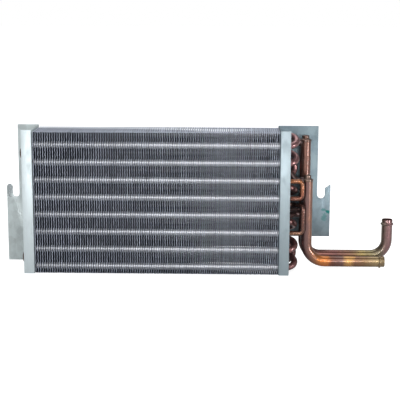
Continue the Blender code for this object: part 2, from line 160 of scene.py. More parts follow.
class NodeSheet:
    """The node tree of one finish, built back from its Principled shader."""

    def __init__(self, name: str) -> None:
        """Start a material with the finish's name."""
        self.material = bpy.data.materials.new(name)
        self.material.use_nodes = True
        self.tree = self.material.node_tree
        self.shader = self.tree.nodes["Principled BSDF"]
        self.coordinates = self.node("ShaderNodeTexCoord").outputs["Object"]

    def node(
        self,
        kind: str,
        settings: Mapping[str, object] | None = None,
        inputs: Mapping[str | int, object] | None = None,
    ) -> bpy.types.Node:
        """Add a node, its settings first and then what its sockets take.

        Args:
            kind: Blender's type of the node.
            settings: Properties by name. The key stops holds a ramp's stops.
            inputs: Values, sockets or signals by the name or number of the input.

        Returns:
            The new node.
        """
        made = self.tree.nodes.new(kind)
        for key, value in (settings or {}).items():
            if key == "stops":
                self._set_stops(made, value)
            else:
                setattr(made, key, value)
        for key, value in (inputs or {}).items():
            self.feed(made.inputs[key], value)
        return made

    @staticmethod
    def _set_stops(ramp: bpy.types.Node, stops: Bands) -> None:
        """Lay the stops of a colour ramp in order."""
        elements = ramp.color_ramp.elements
        while len(elements) < len(stops):
            elements.new(1.0)
        for element, (position, colour) in zip(elements, stops):
            element.position = position
            element.color = colour

    def feed(self, socket: bpy.types.NodeSocket, value: object) -> None:
        """Set an input, or link it where the value is a signal or an output socket."""
        if isinstance(value, Signal):
            value = value.socket
        if isinstance(value, bpy.types.NodeSocket):
            self.tree.links.new(value, socket)
        else:
            socket.default_value = value

    def stretched(self, stretch: Point) -> bpy.types.NodeSocket:
        """Return Object coordinates scaled by a factor for each axis."""
        return self.node("ShaderNodeMapping", {}, {"Vector": self.coordinates, "Scale": stretch}).outputs[0]

    def place(self, axis: Axis) -> Signal:
        """Return the surface's own place along one axis of the frame, in metres."""
        node = self.node("ShaderNodeSeparateXYZ", {}, {0: self.coordinates})
        return Signal(self, node.outputs[axis.value])

    def noise(self, scale: float, detail: float = 3.0, stretch: Point = (1.0, 1.0, 1.0)) -> Signal:
        """Add soft noise over the surface.

        Args:
            scale: Repeats in a metre.
            detail: How many finer layers it holds.
            stretch: Factor on the scale along each axis.

        Returns:
            The noise, about 0.5 in the middle.
        """
        where = self.stretched(stretch)
        node = self.node("ShaderNodeTexNoise", {}, {"Vector": where, "Scale": scale, "Detail": detail})
        return Signal(self, node.outputs["Fac"])

    def crystals(self, scale: float) -> Signal:
        """Add a field of cells such as zinc crystals.

        Args:
            scale: Cells in a metre.

        Returns:
            A random number for each cell.
        """
        where = self.coordinates
        wobble = self.node("ShaderNodeTexNoise", {}, {"Vector": where, "Scale": scale * 1.7})
        push = self.shade(wobble.outputs["Color"], 0.35 / scale)
        moved = self.node("ShaderNodeVectorMath", {"operation": "ADD"}, {0: where, 1: push})
        cells = self.node("ShaderNodeTexVoronoi", {}, {"Vector": moved.outputs[0], "Scale": scale})
        split = self.node("ShaderNodeSeparateXYZ", {}, {0: cells.outputs["Color"]})
        return Signal(self, split.outputs["X"])

    def ramp(self, share: Signal, stops: Bands) -> bpy.types.NodeSocket:
        """Return the colour that a ramp gives a signal."""
        return self.node("ShaderNodeValToRGB", {"stops": stops}, {"Fac": share}).outputs["Color"]

    def mix(self, share: Operand, first: object, second: object) -> bpy.types.NodeSocket:
        """Mix two colours or colour sockets by the share of the second."""
        settings = {"data_type": "RGBA", "blend_type": "MIX"}
        return self.node("ShaderNodeMix", settings, {0: share, 6: first, 7: second}).outputs[2]

    def shade(self, colour: object, share: Operand) -> bpy.types.NodeSocket:
        """Multiply a colour by a signal, as light and dark patches do."""
        node = self.node("ShaderNodeVectorMath", {"operation": "SCALE"}, {0: colour, "Scale": share})
        return node.outputs[0]

    def relief(self, height: Signal, distance: float, strength: float) -> bpy.types.NodeSocket:
        """Turn a height into a bumped normal, a height of 1 standing for the distance in metres."""
        inputs = {"Height": height, "Distance": distance, "Strength": strength}
        return self.node("ShaderNodeBump", {}, inputs).outputs["Normal"]

    def dress(self, **sockets: object) -> bpy.types.Material:
        """Feed the Principled shader by socket name, an underscore standing for a space."""
        for name, value in sockets.items():
            self.feed(self.shader.inputs[name.replace("_", " ")], value)
        return self.material


# --------------------------------------------------------------------------- finishes


@dataclass(frozen=True)
class InkAndShadowDab:
    """A ragged mark on the rear face of a bracket, by its middle and its reach: ink on the right plate,
    painted shadow on the left plate.
    """

    along: float
    height: float
    wide: float
    high: float
    strength: float


@dataclass(frozen=True)
class GalvanisedSheet:
    """Zinc coated steel sheet: faint crystals, rolled scratches, smudges, painted shade towards the bottom of
    the front flange and, where asked, ink marks and patches of painted shadow.
    """

    name: str
    light: Colour
    dark: Colour
    flange: Colour
    crystals: float = 95.0
    metallic: float = 0.72
    painted_bottom_shade: float = 0.10
    # Colour of the marks: teal ink by default; the left plate's grey paints shadow.
    stain: Colour = tone(8, 118, 112)
    ink_and_shadow_dabs: tuple[InkAndShadowDab, ...] = ()
    flange_fade: Span = (-0.0325, -0.0338)
    rear_fade: Span = (0.030, 0.032)
    shadow_fade: Span = (0.190, 0.0)

    def make(self) -> bpy.types.Material:
        """Build the material and return it."""
        sheet = NodeSheet(self.name)
        cell = sheet.crystals(self.crystals)
        patches = sheet.noise(22.0, 4.0)
        smudge = sheet.noise(60.0, 5.0, (1.0, 1.0, 0.55)).between(0.52, 0.70)
        rolled = sheet.noise(70.0, 4.0, (14.0, 14.0, 0.8))
        grain = sheet.noise(2600.0, 2.0)
        share = (cell - 0.5) * 0.30 + (patches - 0.5) * 0.9 + 0.5
        base = sheet.mix(share.between(0.15, 0.85), self.dark, self.light)
        front = sheet.place(Axis.DEPTH).between(*self.flange_fade)
        base = sheet.mix(front * 0.85, base, self.flange)
        # Painted shade: the front flange darkens towards its bottom, on top of the real wear.
        low = sheet.place(Axis.HEIGHT).between(*self.shadow_fade)
        wear = smudge * 0.16 + (rolled - 0.5) * 0.14 + (grain - 0.5) * 0.10
        base = sheet.shade(base, 1.0 - wear - low * front * self.painted_bottom_shade)
        rough = 0.44 + (cell - 0.5) * 0.14 + smudge * 0.12
        # Ink marks, and on the left plate a patch of painted shadow.
        if self.ink_and_shadow_dabs:
            mask = self._ink_and_shadow_mask(sheet)
            base = sheet.mix(mask, base, self.stain)
            rough = rough + mask * 0.25
        height = grain * 0.5 + rolled * 0.8 + cell * 0.35
        return sheet.dress(
            Base_Color=base,
            Metallic=self.metallic,
            Roughness=rough,
            Normal=sheet.relief(height, 0.00006, 0.6),
        )

    def _ink_and_shadow_mask(self, sheet: NodeSheet) -> Signal:
        """Draw the ink marks and the patches of painted shadow.

        Args:
            sheet: The finish's node sheet.

        Returns:
            A dab's strength inside it and 0 outside.
        """
        ragged = (sheet.noise(520.0, 4.0) - 0.5) * 3.2
        rear = sheet.place(Axis.DEPTH).between(*self.rear_fade)
        marks = []
        for dab in self.ink_and_shadow_dabs:
            across = (sheet.place(Axis.ALONG) - dab.along) / dab.wide
            up = (sheet.place(Axis.HEIGHT) - dab.height) / dab.high
            reach = across * across + up * up + ragged
            marks.append(reach.between(1.05, 0.45) * rear * dab.strength)
        return sum(marks, 0.0)


@dataclass(frozen=True)
class FinFoil:
    """Aluminium foil whose face tone is painted shade, darkest deep inside the pack, with a bright band at
    its front, back and top; the top band is painted lighter still.
    """

    name: str
    # face: the tone away from the bands, which on the foil is a dark painted shade.
    face: Colour
    edge: Colour
    roughness: float
    metallic: float
    top: float
    painted_inner_shade: float
    edge_fade: Span = (0.0295, 0.0328)
    inner_shade_fade: Span = (0.0315, 0.0230)
    top_light_fade: Span = (-0.0004, 0.0002)

    def make(self) -> bpy.types.Material:
        """Build the material and return it."""
        sheet = NodeSheet(self.name)
        each = sheet.noise(1.0, 1.0, (310.0, 2.0, 9.0))
        drift = sheet.noise(30.0, 3.0)
        streak = sheet.noise(120.0, 3.0, (1.0, 6.0, 0.8))
        depth = sheet.place(Axis.DEPTH)
        # Painted light: the top band of each fin is made lighter and less metallic.
        painted_top_light = sheet.place(Axis.HEIGHT).between(*(self.top + rise for rise in self.top_light_fade))
        dull, bright = self.edge_fade
        edge = depth.between(-dull, -bright) + depth.between(dull, bright) + painted_top_light
        # Painted shade: deep inside the pack the face is darkened further.
        unshaded_depth, shaded_depth = self.inner_shade_fade
        deep = depth.between(-unshaded_depth, -shaded_depth) * depth.between(unshaded_depth, shaded_depth) * (1.0 - painted_top_light)
        # The face tone, painted shade on the foil, fills all but the bands at the front, back and top, which
        # take the bright tone.
        base = sheet.mix(edge * (0.35 + each * 0.65), self.face, self.edge)
        # Random patchy tone, and a further painted light on the top band.
        patchy = 0.72 + each * 0.36 + (drift - 0.5) * 0.35 + (streak - 0.5) * 0.2
        base = sheet.shade(base, patchy + painted_top_light * 0.20)
        # Apply the painted shade deep inside the pack.
        base = sheet.shade(base, 1.0 - deep * self.painted_inner_shade)
        return sheet.dress(
            Base_Color=base,
            Metallic=self.metallic * (1.0 - painted_top_light),
            Specular_IOR_Level=0.15,
            Roughness=self.roughness + (streak - 0.5) * 0.2,
            Normal=sheet.relief(streak, 0.00005, 0.5),
        )


@dataclass(frozen=True)
class TintedCopper:
    """Copper that brazing heat has tinted in bands along one axis of the frame."""

    name: str
    axis: Axis
    start: float
    end: float
    bands: Bands
    wander: float = 0.10
    oxide: Colour = tone(70, 48, 44)
    oxide_share: float = 0.35
    roughness: float = 0.29
    metallic: float = 0.88
    lacquer: float = 0.7

    def make(self) -> bpy.types.Material:
        """Build the material and return it."""
        sheet = NodeSheet(self.name)
        patches = sheet.noise(55.0, 4.0)
        cloud = sheet.noise(150.0, 4.0)
        speckle = sheet.noise(900.0, 3.0)
        share = (sheet.place(self.axis) - self.start) / (self.end - self.start)
        share = share + (patches - 0.5) * self.wander * 2.0
        base = sheet.ramp(share, self.bands)
        oxide = cloud.between(0.48, 0.68) * self.oxide_share
        base = sheet.mix(oxide, base, self.oxide)
        base = sheet.shade(base, 1.0 + (speckle - 0.5) * 0.20 + (cloud - 0.5) * 0.25)
        rough = self.roughness + oxide * 0.35 + (speckle - 0.5) * 0.14
        height = speckle * 0.08 + cloud
        return sheet.dress(
            Base_Color=base,
            Metallic=self.metallic,
            Roughness=rough,
            Coat_Weight=self.lacquer,
            Coat_Roughness=0.07,
            Normal=sheet.relief(height, 0.00004, 0.12),
        )


@dataclass(frozen=True)
class BrazeAlloy:
    """The silvery pink alloy that has run round each brazed joint."""

    name: str
    colour: Colour
    flux: Colour

    def make(self) -> bpy.types.Material:
        """Build the material and return it."""
        sheet = NodeSheet(self.name)
        lumps = sheet.noise(520.0, 3.0)
        stain = sheet.noise(160.0, 3.0).between(0.46, 0.62)
        base = sheet.mix(stain * 0.75, self.colour, self.flux)
        return sheet.dress(
            Base_Color=sheet.shade(base, 0.85 + lumps * 0.3),
            Metallic=0.8,
            Roughness=0.32 + stain * 0.25,
            Normal=sheet.relief(lumps, 0.0003, 0.7),
        )


# --------------------------------------------------------------------------- bench tools


class Bench:
    """What a maker's hands do in edit mode: pick, apply, fasten."""

    @staticmethod
    def clear() -> None:
        """Leave edit mode with nothing selected."""
        if bpy.context.mode != "OBJECT":
            bpy.ops.object.mode_set(mode="OBJECT")
        bpy.ops.object.select_all(action="DESELECT")

    @staticmethod
    def hold(obj: Piece) -> None:
        """Select one piece alone and make it the active one."""
        Bench.clear()
        obj.select_set(True)
        bpy.context.view_layer.objects.active = obj

    @staticmethod
    def settle() -> None:
        """Lay the place, turn and size of the selected piece into its mesh."""
        bpy.ops.object.transform_apply(location=True, rotation=True, scale=True)

    @staticmethod
    def adopt(name: str) -> Piece:
        """Name the new primitive, settle it and return it."""
        obj = bpy.context.object
        obj.name = name
        obj.data.name = name
        Bench.settle()
        return obj

    @staticmethod
    def copy(obj: Piece, step: Vector | Point) -> Piece:
        """Duplicate a piece, move the copy by a step and return it, selected and not yet settled."""
        Bench.hold(obj)
        bpy.ops.object.duplicate(linked=False)
        bpy.ops.transform.translate(value=step)
        return bpy.context.object

    @staticmethod
    def extrude(step: Vector | Point) -> None:
        """Extrude what is selected in edit mode by a step."""
        bpy.ops.mesh.extrude_region_move(TRANSFORM_OT_translate={"value": step})

    @staticmethod
    def pick(obj: Piece, what: Pick, test: Callable[[Vector, Vector], bool]) -> None:
        """Select parts of a mesh by their middle and normal, and stay in edit mode.

        Args:
            obj: The active object.
            what: Points, edges or faces.
            test: Takes a middle and a normal. An edge gives its direction as the normal.
        """
        bpy.ops.object.mode_set(mode="OBJECT")
        mesh = obj.data
        for group in (mesh.vertices, mesh.edges, mesh.polygons):
            group.foreach_set("select", [False] * len(group))
        if what is Pick.POINTS:
            for point in mesh.vertices:
                point.select = test(point.co, point.normal)
        elif what is Pick.EDGES:
            for edge in mesh.edges:
                first, second = (mesh.vertices[index].co for index in edge.vertices)
                edge.select = test((first + second) / 2, (second - first).normalized())
        else:
            for face in mesh.polygons:
                face.select = test(face.center, face.normal)
        bpy.context.tool_settings.mesh_select_mode = what.value
        bpy.ops.object.mode_set(mode="EDIT")

    @staticmethod
    def modifier(obj: Piece, kind: str, **settings: object) -> None:
        """Add a modifier to the active object and apply it.

        Args:
            obj: The active object.
            kind: Blender's type of the modifier.
            **settings: Its properties.
        """
        if bpy.context.mode != "OBJECT":
            bpy.ops.object.mode_set(mode="OBJECT")
        bpy.ops.object.modifier_add(type=kind)
        modifier = obj.modifiers[-1]
        for key, value in settings.items():
            setattr(modifier, key, value)
        bpy.ops.object.modifier_apply(modifier=modifier.name)

    @staticmethod
    def array(obj: Piece, count: int, step: Point, **settings: object) -> None:
        """Repeat the active object, up to a count, in even steps."""
        Bench.modifier(
            obj,
            "ARRAY",
            count=count,
            use_relative_offset=False,
            use_constant_offset=True,
            constant_offset_displace=step,
            **settings,
        )

    @staticmethod
    def face_out() -> None:
        """Merge doubled points of the active piece and turn its faces outwards."""
        if bpy.context.mode != "EDIT":
            bpy.ops.object.mode_set(mode="EDIT")
        bpy.ops.mesh.select_all(action="SELECT")
        bpy.ops.mesh.remove_doubles(threshold=0.000002)
        bpy.ops.mesh.normals_make_consistent(inside=False)
        bpy.ops.object.mode_set(mode="OBJECT")

    @staticmethod
    def soften(degrees: float) -> None:
        """Shade the active piece smooth except across edges sharper than the angle."""
        bpy.ops.object.shade_smooth_by_angle(angle=math.radians(degrees))

    @staticmethod
    def join(name: str, objects: Sequence[Piece]) -> Piece:
        """Join several objects into the first.

        Args:
            name: The name of the joined piece.
            objects: The objects. Each has its own mesh.

        Returns:
            The joined piece.
        """
        Bench.clear()
        for obj in objects:
            obj.select_set(True)
        bpy.context.view_layer.objects.active = objects[0]
        bpy.ops.object.join()
        objects[0].name = name
        objects[0].data.name = name
        return objects[0]

    @staticmethod
    def paint(obj: Piece, *materials: bpy.types.Material) -> None:
        """Give a piece its materials in slot order."""
        obj.data.materials.clear()
        for material in materials:
            obj.data.materials.append(material)

    @staticmethod
    def fasten(obj: Piece, slot: str, *nodes: str) -> None:
        """Fix a finished piece to the frame.

        Args:
            obj: The piece.
            slot: Not used.
            *nodes: The CAD nodes that it stands for.
        """
        Bench.clear()
        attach(obj, "root")
        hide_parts(*nodes)
        LOG.info("%s: %d faces, stands for %s", obj.name, len(obj.data.polygons), ", ".join(nodes))


class Tube:
    """A tube drawn by hand: a ring, extruded along straights, spun round bends and scaled at beads."""

    def __init__(self, name: str, start: Vector, heading: Vector, radius: float, sides: int = 24) -> None:
        """Lay the first ring.

        Args:
            name: The piece's name.
            start: The middle of the ring.
            heading: The way that the tube sets off.
            radius: Its outer radius.
            sides: Points of the ring.
        """
        Bench.clear()
        self.start = start.copy()
        self.position = start.copy()
        self.heading = heading.normalized()
        self.first_heading = self.heading.copy()
        self.radius = radius
        bpy.ops.mesh.primitive_circle_add(
            vertices=sides,
            radius=radius,
            fill_type="NOTHING",
            location=start,
            rotation=self.heading.to_track_quat("Z", "Y").to_euler(),
        )
        self.obj = Bench.adopt(name)
        bpy.ops.object.mode_set(mode="EDIT")
        bpy.context.tool_settings.mesh_select_mode = Pick.POINTS.value
        bpy.ops.mesh.select_all(action="SELECT")

    def straight(self, length: float) -> Tube:
        """Extrude the open end straight on."""
        if length > 0.00001:
            step = self.heading * length
            Bench.extrude(step)
            self.position += step
        return self

    def profile(self, *steps: tuple[float, float]) -> Tube:
        """Extrude and scale the end through beads, flares and necks.

        Args:
            *steps: Length and new radius of each step.

        Returns:
            The tube itself.
        """
        for length, radius in steps:
            step = self.heading * length
            share = radius / self.radius
            Bench.extrude(step)
            self.position += step
            bpy.ops.transform.resize(value=(share, share, share), center_override=self.position)
            self.radius = radius
        return self

    def bend(self, heading: Vector, corner: float, steps: int) -> Tube:
        """Spin the end round one bend.

        Args:
            heading: The way that the tube leaves the bend.
            corner: The bend's radius at the tube's middle.
            steps: Rings in the bend.

        Returns:
            The tube itself.
        """
        after = heading.normalized()
        angle = self.heading.angle(after)
        axis = self.heading.cross(after).normalized()
        centre = self.position + axis.cross(self.heading).normalized() * corner
        bpy.ops.mesh.spin(steps=steps, angle=-angle, center=centre, axis=axis)
        self.position = centre + Matrix.Rotation(angle, 3, axis) @ (self.position - centre)
        self.heading = after
        return self

    def follow(self, path: Sequence[Vector], corner: float, steps: int, short: float = 0.0) -> Tube:
        """Run on through the corners of a path.

        Args:
            path: The corners after the tube's present end, and the last point.
            corner: The bends' radius.
            steps: Rings in each bend.
            short: How far before the last point the run stops.

        Returns:
            The tube itself.
        """
        for point, beyond in zip(path, path[1:]):
            after = (beyond - point).normalized()
            reach = corner * math.tan(self.heading.angle(after) / 2)
            self.straight((point - self.position).dot(self.heading) - reach)
            self.bend(after, corner, steps)
        return self.straight((path[-1] - self.position).dot(self.heading) - short)

    def wall(self, thickness: float, degrees: float = 50.0) -> Piece:
        """Turn the faces out, give the tube its wall inwards and shade it.

        Args:
            thickness: The wall.
            degrees: The angle above which an edge stays sharp.

        Returns:
            The finished mesh.
        """
        Bench.face_out()
        middle = self.obj.data.polygons[0].center
        outwards = middle - self.start
        outwards -= self.first_heading * outwards.dot(self.first_heading)
        if outwards.dot(self.obj.data.polygons[0].normal) < 0:
            bpy.ops.object.mode_set(mode="EDIT")
            bpy.ops.mesh.select_all(action="SELECT")
            bpy.ops.mesh.flip_normals()
        wall = {"thickness": thickness, "offset": -1.0, "use_rim": True, "use_quality_normals": True}
        Bench.modifier(self.obj, "SOLIDIFY", **wall)
        Bench.soften(degrees)
        return self.obj

    def ring(self, degrees: float = 50.0) -> Piece:
        """Join the last ring to the first, and return the closed collar."""
        self._pick_open_ends()
        bpy.ops.mesh.bridge_edge_loops()
        return self._closed(degrees)

    def plug(self, degrees: float = 50.0) -> Piece:
        """Fill both ends, and return the closed solid."""
        self._pick_open_ends()
        bpy.ops.mesh.edge_face_add()
        return self._closed(degrees)

    @staticmethod
    def _pick_open_ends() -> None:
        """Select the edges of the open ends."""
        bpy.ops.mesh.select_all(action="DESELECT")
        bpy.ops.mesh.select_non_manifold()

    def _closed(self, degrees: float) -> Piece:
        """Turn the faces out, shade them and return the mesh."""
        Bench.face_out()
        Bench.soften(degrees)
        return self.obj


# --------------------------------------------------------------------------- the coil's layout


@dataclass(frozen=True)
class Coil:
    """Sizes and places that every sub-assembly shares, in metres.

    Local places run from the fin side of the left web, the front of the fins and the plates' lower edges.
    """

    length: float = 0.3535
    tube_pitch: float = 0.0254
    row_pitch: float = 0.022
    rows: int = 3
    tubes: int = 8
    tube_radius: float = 0.00476
    sheet: float = 0.0012
    below_fins: float = 0.0010
    fin_foot: float = 0.0020
    fin_head: float = 0.0006
    stub_out: float = 0.0063
    left_web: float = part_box("left_end_plate")[1].x
    fin_front: float = -0.033

    @property
    def pattern_bottom(self) -> float:
        """Height of the tube pattern's lower edge, which lies a little above the fins' own."""
        return self.below_fins + self.fin_foot

    @property
    def pattern_top(self) -> float:
        """Height of the tube pattern's upper edge."""
        return self.pattern_bottom + self.tubes * self.tube_pitch

    def at(self, along: float, depth: float, height: float) -> Vector:
        """Return a local place in the frame."""
        return Vector((self.left_web + along, self.fin_front + depth, height))

    def past_web(self, along: float, depth: float, height: float) -> Vector:
        """Return a place measured from the fin side of the right web."""
        return self.at(self.length + along, depth, height)

    def places(self) -> list[Place]:
        """Return row and number of every tube, the front row first."""
        return [(row, number) for row in range(1, self.rows + 1) for number in range(1, self.tubes + 1)]

    def tube(self, row: int, number: int) -> tuple[float, float]:
        """Return a tube's depth and height, its row counted from the front and its number from the top."""
        drop = 0.25 if row == 2 else 0.75
        return (row - 0.5) * self.row_pitch, self.pattern_top - (drop + number - 1) * self.tube_pitch


# --------------------------------------------------------------------------- fins


@dataclass
class FinPack:
    """The pressed fins, modelled once as a tile round a drawn collar and repeated in five banks."""

    coil: Coil
    banks: tuple[tuple[str, int, float], ...] = (
        ("left", 31, 0.00346),
        ("middle_left", 20, 0.00337),
        ("middle_right", 19, 0.00337),
        ("right_inner", 19, 0.00309),
        ("right_outer", 18, 0.00309),
    )
    first_fin: float = 0.0018
    foil: float = 0.00013
    collar_radius: float = 0.00508
    collar_root: float = 0.0004
    collar_gap: float = 0.00032
    flare: float = 0.00035
    ripple: float = 0.0005
    wave: float = 0.0016
    hem_depth: float = 0.0004
    hem_lean: float = -0.00055
    brim: float = 0.0024
    sole: float = 0.0028
    ragged: float = 0.00028
    near: float = 0.0001
    collar_sides: int = 12
    cell_steps: int = 4
    materials: tuple[bpy.types.Material, ...] = field(default_factory=tuple)

    def dress(self) -> None:
        """Make the foil and collar finishes."""
        top = self.coil.pattern_top
        # The foil's dark tone is painted shade between the fins and its bright tone that of its front, back
        # and top bands; the collar tone is the metal's own.
        dull, bright, polished = tone(36, 42, 60), tone(192, 200, 216), tone(246, 248, 254)
        foil = FinFoil("fin_foil", dull, bright, roughness=0.45, metallic=0.12, top=top, painted_inner_shade=0.80)
        collar = FinFoil("fin_collar", polished, polished, roughness=0.20, metallic=0.4, top=top, painted_inner_shade=0.0)
        self.materials = (foil.make(), collar.make())

    def _tile(self, reach: float) -> Piece:
        """Model one tile of a fin: a cell with its hole and collar, and the plain strip above it.

        Args:
            reach: Length of the collar towards the next fin.

        Returns:
            The tile, at the lowest tube of the front row.
        """
        Bench.clear()
        cell = self.coil.tube_pitch / 2
        y, z = self.coil.tube(1, self.coil.tubes)
        middle = self.coil.at(0.0, y, z)
        bpy.ops.mesh.primitive_grid_add(
            x_subdivisions=self.cell_steps,
            y_subdivisions=2,
            size=1.0,
            location=middle,
            rotation=(0.0, math.pi / 2, 0.0),
        )
        bpy.context.object.scale = (cell, self.coil.row_pitch, 1.0)
        tile = Bench.adopt("fin_tile")
        deep, tall = self.coil.row_pitch / 4, cell * 0.45
        Bench.pick(tile, Pick.POINTS, lambda c, n: abs(c.y - middle.y) < deep and abs(c.z - middle.z) < tall)
        bpy.ops.mesh.delete(type="VERT")
        bpy.ops.mesh.primitive_circle_add(
            vertices=self.collar_sides,
            radius=self.collar_radius,
            fill_type="NOTHING",
            location=middle,
            rotation=(0.0, math.pi / 2, 0.0),
        )
        bpy.ops.mesh.select_all(action="SELECT")
        bpy.ops.mesh.bridge_edge_loops()
        step = cell / self.cell_steps
        top = middle.z + cell / 2
        Bench.pick(tile, Pick.EDGES, lambda c, n: abs(c.z - top) < self.near)
        for _ in range(self.cell_steps):
            Bench.extrude((0.0, 0.0, step))
        mouth = self.collar_radius + self.near
        Bench.pick(tile, Pick.EDGES, lambda c, n: (c - middle).length < mouth)
        root = self.collar_root
        Bench.extrude((root, 0.0, 0.0))
        share = (self.collar_radius - self.flare / 2) / self.collar_radius
        seat = middle + Vector((root, 0.0, 0.0))
        bpy.ops.transform.resize(value=(1.0, share, share), center_override=seat)
        Bench.extrude((reach - root, 0.0, 0.0))
        bpy.ops.object.mode_set(mode="OBJECT")
        Bench.paint(tile, *self.materials)
        whole = reach * 0.9 + mouth
        Bench.pick(tile, Pick.FACES, lambda c, n: (c - middle).length < whole and abs(n.x) < 0.8)
        tile.active_material_index = 1
        bpy.ops.object.material_slot_assign()
        bpy.ops.object.mode_set(mode="OBJECT")
        return tile

    def _fin(self, reach: float) -> Piece:
        """Repeat the tile over one fin, the middle row upside down.

        Args:
            reach: Length of the collars.

        Returns:
            One fin at the left end of the pack.
        """
        tile = self._tile(reach)
        pitch = (0.0, 0.0, self.coil.tube_pitch)
        Bench.array(tile, self.coil.tubes, pitch, use_merge_vertices=True, merge_threshold=0.00002)
        rows = [tile]
        for row in range(2, self.coil.rows + 1):
            copy = Bench.copy(tile, (0.0, (row - 1) * self.coil.row_pitch, 0.0))
            if row % 2 == 0:
                middle = (self.coil.pattern_bottom + self.coil.pattern_top) / 2
                centre = self.coil.at(0.0, self.coil.tube(row, 1)[0], middle)
                bpy.ops.transform.resize(value=(1.0, 1.0, -1.0), center_override=centre)
            Bench.settle()
            rows.append(copy)
        fin = Bench.join("fin", rows)
        Bench.face_out()
        step = self.coil.tube_pitch / 2 / self.cell_steps
        low = self.coil.pattern_bottom
        flat = 0.0002

        def crest(middle: Vector, _: Vector) -> bool:
            """Tell whether a point lies on a crest of the ripple."""
            return abs(middle.x - self.coil.left_web) < flat and round((middle.z - low) / step) % 2 == 1

        def fold(middle: Vector, _: Vector) -> bool:
            """Tell whether a point lies on the fold along the middle of the third row."""
            across = (middle.y - self.coil.fin_front) / self.coil.row_pitch - 0.5
            if across < 1.5 or abs(across - round(across)) > 0.02:
                return False
            if abs(middle.x - self.coil.left_web) > self.ripple + flat:
                return False
            return self._clear_of_collars(middle)

        Bench.pick(fin, Pick.POINTS, crest)
        bpy.ops.transform.translate(value=(self.ripple, 0.0, 0.0))
        Bench.pick(fin, Pick.POINTS, fold)
        bpy.ops.transform.translate(value=(self.wave, 0.0, 0.0))
        high = self.coil.pattern_top
        foot = (low, (0.0, 0.0, -self.coil.fin_foot))
        head = (high, (0.0, 0.0, self.coil.fin_head))
        brim = (high + self.coil.fin_head, (self.brim, 0.0, 0.0))
        sole = (low - self.coil.fin_foot, (self.sole, 0.0, 0.0))
        for edge, push in (foot, head, brim, sole):
            Bench.pick(fin, Pick.EDGES, lambda c, n, at=edge: abs(c.z - at) < flat and abs(n.y) > 0.5)
            Bench.extrude(push)
        front = self.coil.fin_front
        Bench.pick(fin, Pick.EDGES, lambda c, n: abs(c.y - front) < flat and abs(n.z) > 0.5)
        bpy.ops.transform.translate(value=(0.0, self.hem_depth, 0.0))
        Bench.extrude((self.hem_lean, -self.hem_depth, 0.0))
        bpy.ops.object.mode_set(mode="OBJECT")
        return fin

    def _clear_of_collars(self, place: Vector) -> bool:
        """Tell whether a place on a fin lies outside every collar of its row."""
        coil = self.coil
        row = int((place.y - coil.fin_front) / coil.row_pitch) + 1
        return all(
            math.hypot(place.y - coil.fin_front - y, place.z - z) > self.collar_radius + 0.0003
            for y, z in (coil.tube(row, number) for number in range(1, coil.tubes + 1))
        )

    def _bank(self, name: str, start: float, count: int, pitch: float, seed: int) -> Piece:
        """Model one bank of fins.

        Args:
            name: Which bank.
            start: Place of its first fin from the left web.
            count: How many fins.
            pitch: Their spacing.
            seed: Of the small random lean of their front edges.

        Returns:
            The bank.
        """
        fin = self._fin(pitch - self.collar_gap)
        Bench.hold(fin)
        bpy.ops.transform.translate(value=(start, 0.0, 0.0))
        Bench.settle()
        Bench.array(fin, count, (pitch, 0.0, 0.0))
        front = self.coil.fin_front + self.near
        Bench.pick(fin, Pick.POINTS, lambda c, n: c.y < front)
        bpy.ops.transform.vertex_random(offset=self.ragged, uniform=1.0, normal=0.0, seed=seed)
        Bench.pick(fin, Pick.POINTS, lambda c, n: c.y < front)
        bpy.ops.transform.resize(value=(1.0, 0.0, 1.0), center_override=(0.0, self.coil.fin_front, 0.0))
        Bench.modifier(fin, "SOLIDIFY", thickness=self.foil, offset=0.0, use_rim=True)
        Bench.soften(30.0)
        fin.name = f"fin_bank_{name}"
        fin.data.name = fin.name
        return fin

    def build(self) -> None:
        """Model and dress the five banks."""
        self.dress()
        place = self.first_fin
        for seed, (name, count, pitch) in enumerate(self.banks, start=3):
            bank = self._bank(name, place, count, pitch, seed)
            Bench.fasten(bank, "fins", "fin_pack")
            place += count * pitch


# --------------------------------------------------------------------------- copper


